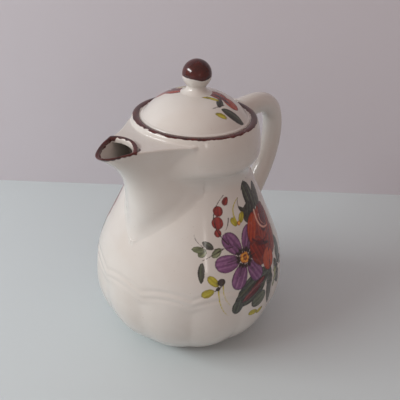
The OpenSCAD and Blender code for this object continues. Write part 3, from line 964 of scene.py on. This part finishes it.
def lip_band(n):
    """Paint round the spout's lip, from the depth that the spout's mesh carries."""
    lip = n.add("ShaderNodeAttribute", attribute_name="lip").outputs["Fac"]
    return n.ramp(n.math("ADD", lip, n.waver(LIP_WAVER, 600.0, 0.6)), *LIP_EDGE)


def knob_cap(n):
    """Maroon over the ball, its edge a little lower on one side."""
    parts = n.add("ShaderNodeSeparateXYZ", {"Vector": n.place}).outputs
    along_x = n.math("MULTIPLY", parts[0], math.cos(KNOB_DIP_TURN))
    along_y = n.math("MULTIPLY", parts[1], math.sin(KNOB_DIP_TURN))
    dip = n.math("MULTIPLY", n.ramp(n.math("ADD", along_x, along_y), *KNOB_DIP_AT), KNOB_DIP)
    height = n.math("ADD", n.math("ADD", parts[2], dip), n.waver(KNOB_WAVER, 230.0, 0.55))
    return n.ramp(height, *KNOB_PAINT_Z)


def glaze(name, maroon_part=None, painted=False):
    """Tin-white glaze with faint clouds and iron spots; maroon_part says where the maroon band lies."""
    n = Nodes(name)
    colour = n.mix(n.ramp(n.noise(28.0, 3.0, 0.55), 0.35, 0.7), CREAM, CREAM_LOW)
    spots = n.math("MULTIPLY", n.ramp(n.noise(900.0, 1.0, 0.4), 0.76, 0.80), SPOT_COVER)
    colour = n.mix(spots, colour, IRON_SPOT)
    if painted:
        colour = flowers(n, colour)
    if maroon_part:
        colour = n.mix(maroon_part(n), colour, maroon_colour(n))
    n.put(n.shader.inputs["Base Color"], colour)
    rough = n.add("ShaderNodeMapRange", {"Value": n.noise(60.0), "To Min": GLOSS, "To Max": SATIN})
    n.put(n.shader.inputs["Roughness"], rough.outputs["Result"])
    n.shader.inputs["IOR"].default_value = GLAZE_IOR
    n.shader.inputs["Coat Weight"].default_value = COAT
    n.shader.inputs["Coat Roughness"].default_value = COAT_ROUGH
    bump = n.add("ShaderNodeBump", {"Height": n.noise(170.0, rough=0.45), "Strength": BUMP,
                                    "Distance": BUMP_DISTANCE})
    n.put(n.shader.inputs["Normal"], bump.outputs["Normal"])
    return n.material


# The stage

SENSOR_MM = 36


def camera():
    """The photograph's camera, turned with the spout into the CAD frame."""
    w = Vector((math.sin(YAW) * math.cos(PITCH), math.cos(YAW) * math.cos(PITCH), -math.sin(PITCH)))
    right = Vector((math.cos(YAW), -math.sin(YAW), 0))
    up = right.cross(w)
    right, up = (math.cos(ROLL) * right + math.sin(ROLL) * up,
                 -math.sin(ROLL) * right + math.cos(ROLL) * up)
    turn = Matrix.Rotation(SPOUT_TURN, 3, "Z")
    right, up, w = turn @ right, turn @ up, turn @ w
    at = turn @ Vector(CAMERA_AT) / 1000
    data = bpy.data.cameras.new("photo_camera")
    data.sensor_width = SENSOR_MM
    data.lens = FOCAL_PX / IMAGE_PX * SENSOR_MM
    data.clip_start = 0.01
    obj = bpy.data.objects.new("photo_camera", data)
    basis = Matrix((right, up, -w)).transposed()
    obj.matrix_world = Matrix.Translation(at) @ basis.to_4x4()
    bpy.context.scene.collection.objects.link(obj)
    bpy.context.scene.camera = obj


def plain(name, colour, rough):
    """A matt surface with faint clouds of a slightly darker tone."""
    n = Nodes(name)
    darker = tuple(c * 0.97 for c in colour[:3]) + (1,)
    tone = n.mix(n.ramp(n.noise(3.0), 0.3, 0.7), colour, darker)
    n.put(n.shader.inputs["Base Color"], tone)
    n.shader.inputs["Roughness"].default_value = rough
    return n.material


# The wall's turn and distance, and how far floor and wall reach, in metres
WALL_TURN, WALL_AWAY = math.radians(0.8), 0.1672
FLOOR_NEAR, STAGE_WIDE, WALL_HIGH = 1.3, 1.6, 1.2


def stage():
    """A pale floor, and a pale wall close behind the pot."""
    turn = WALL_TURN + SPOUT_TURN
    side = Vector((math.cos(turn), math.sin(turn), 0))
    flat = Vector((-math.sin(turn), math.cos(turn), 0))
    left, right = flat * WALL_AWAY - side * STAGE_WIDE, flat * WALL_AWAY + side * STAGE_WIDE
    front = -flat * FLOOR_NEAR
    up = Vector((0, 0, WALL_HIGH))
    corners = {
        "floor": (front - side * STAGE_WIDE, front + side * STAGE_WIDE, right, left),
        "backdrop": (left, right, right + up, left + up)}
    finish = {
        "floor": plain("table", linear(203, 214, 217), 0.5),
        "backdrop": plain("wall", linear(205, 203, 210), 0.9)}
    for name, points in corners.items():
        mesh = bpy.data.meshes.new(name)
        mesh.from_pydata([tuple(c) for c in points], [], [(0, 1, 2, 3)])
        mesh.materials.append(finish[name])
        obj = bpy.data.objects.new(name, mesh)
        bpy.context.scene.collection.objects.link(obj)


# The lamps face this point in the middle of the pot
LIT_AT = Vector((0, 0, 0.08))

# The room's own light: its colour, and its strength at the left and at the right of the photograph
ROOM_COLOUR, ROOM_LEFT, ROOM_RIGHT = (1.0, 0.78, 0.715, 1), 0.67, 0.38


def area_light(name, turn, rise, away, size, power, colour):
    """A soft light, placed by its turn to the right of the camera and its height, in degrees."""
    data = bpy.data.lights.new(name, "AREA")
    data.shape = "RECTANGLE"
    data.size, data.size_y = size
    data.energy = power
    data.color = colour
    obj = bpy.data.objects.new(name, data)
    a, b = math.radians(turn) + SPOUT_TURN - math.pi / 2, math.radians(rise)
    towards = Vector((math.cos(a) * math.cos(b), math.sin(a) * math.cos(b), math.sin(b)))
    at = LIT_AT + towards * away
    obj.matrix_world = Matrix.Translation(at) @ towards.to_track_quat("Z", "Y").to_matrix().to_4x4()
    bpy.context.scene.collection.objects.link(obj)


def lights():
    """A window on the left, a weak narrow lamp right of the camera and a room that darkens to the right."""
    area_light("window", -72, 30, 1.1, (0.72, 0.2), 7.3, (0.96, 1.0, 1.0))
    area_light("far_lamp", 21, 13, 1.2, (0.05, 0.13), 0.16, (1.0, 0.95, 0.9))
    world = bpy.data.worlds.new("studio")
    world.use_nodes = True
    nodes, links = world.node_tree.nodes, world.node_tree.links
    right = nodes.new("ShaderNodeVectorMath")
    right.operation = "DOT_PRODUCT"
    right.inputs[1].default_value = (math.cos(SPOUT_TURN), math.sin(SPOUT_TURN), 0)
    links.new(nodes.new("ShaderNodeTexCoord").outputs["Generated"], right.inputs[0])
    fall = nodes.new("ShaderNodeMapRange")
    for key, value in (("From Min", -1), ("From Max", 1), ("To Min", ROOM_LEFT), ("To Max", ROOM_RIGHT)):
        fall.inputs[key].default_value = value
    links.new(right.outputs["Value"], fall.inputs["Value"])
    links.new(fall.outputs["Result"], nodes["Background"].inputs["Strength"])
    nodes["Background"].inputs["Color"].default_value = ROOM_COLOUR
    bpy.context.scene.world = world


# The scene

camera()
stage()
lights()

plain_glaze = glaze("glaze_cream")
pot_body(glaze("glaze_cream_painted_rim", rim_band, painted=True))
handle(plain_glaze)
lid(glaze("glaze_cream_painted", painted=True))
knob(glaze("glaze_maroon_cap", knob_cap))
spout(glaze("glaze_cream_lip", lip_band))

bpy.context.scene.view_settings.view_transform = "Standard"
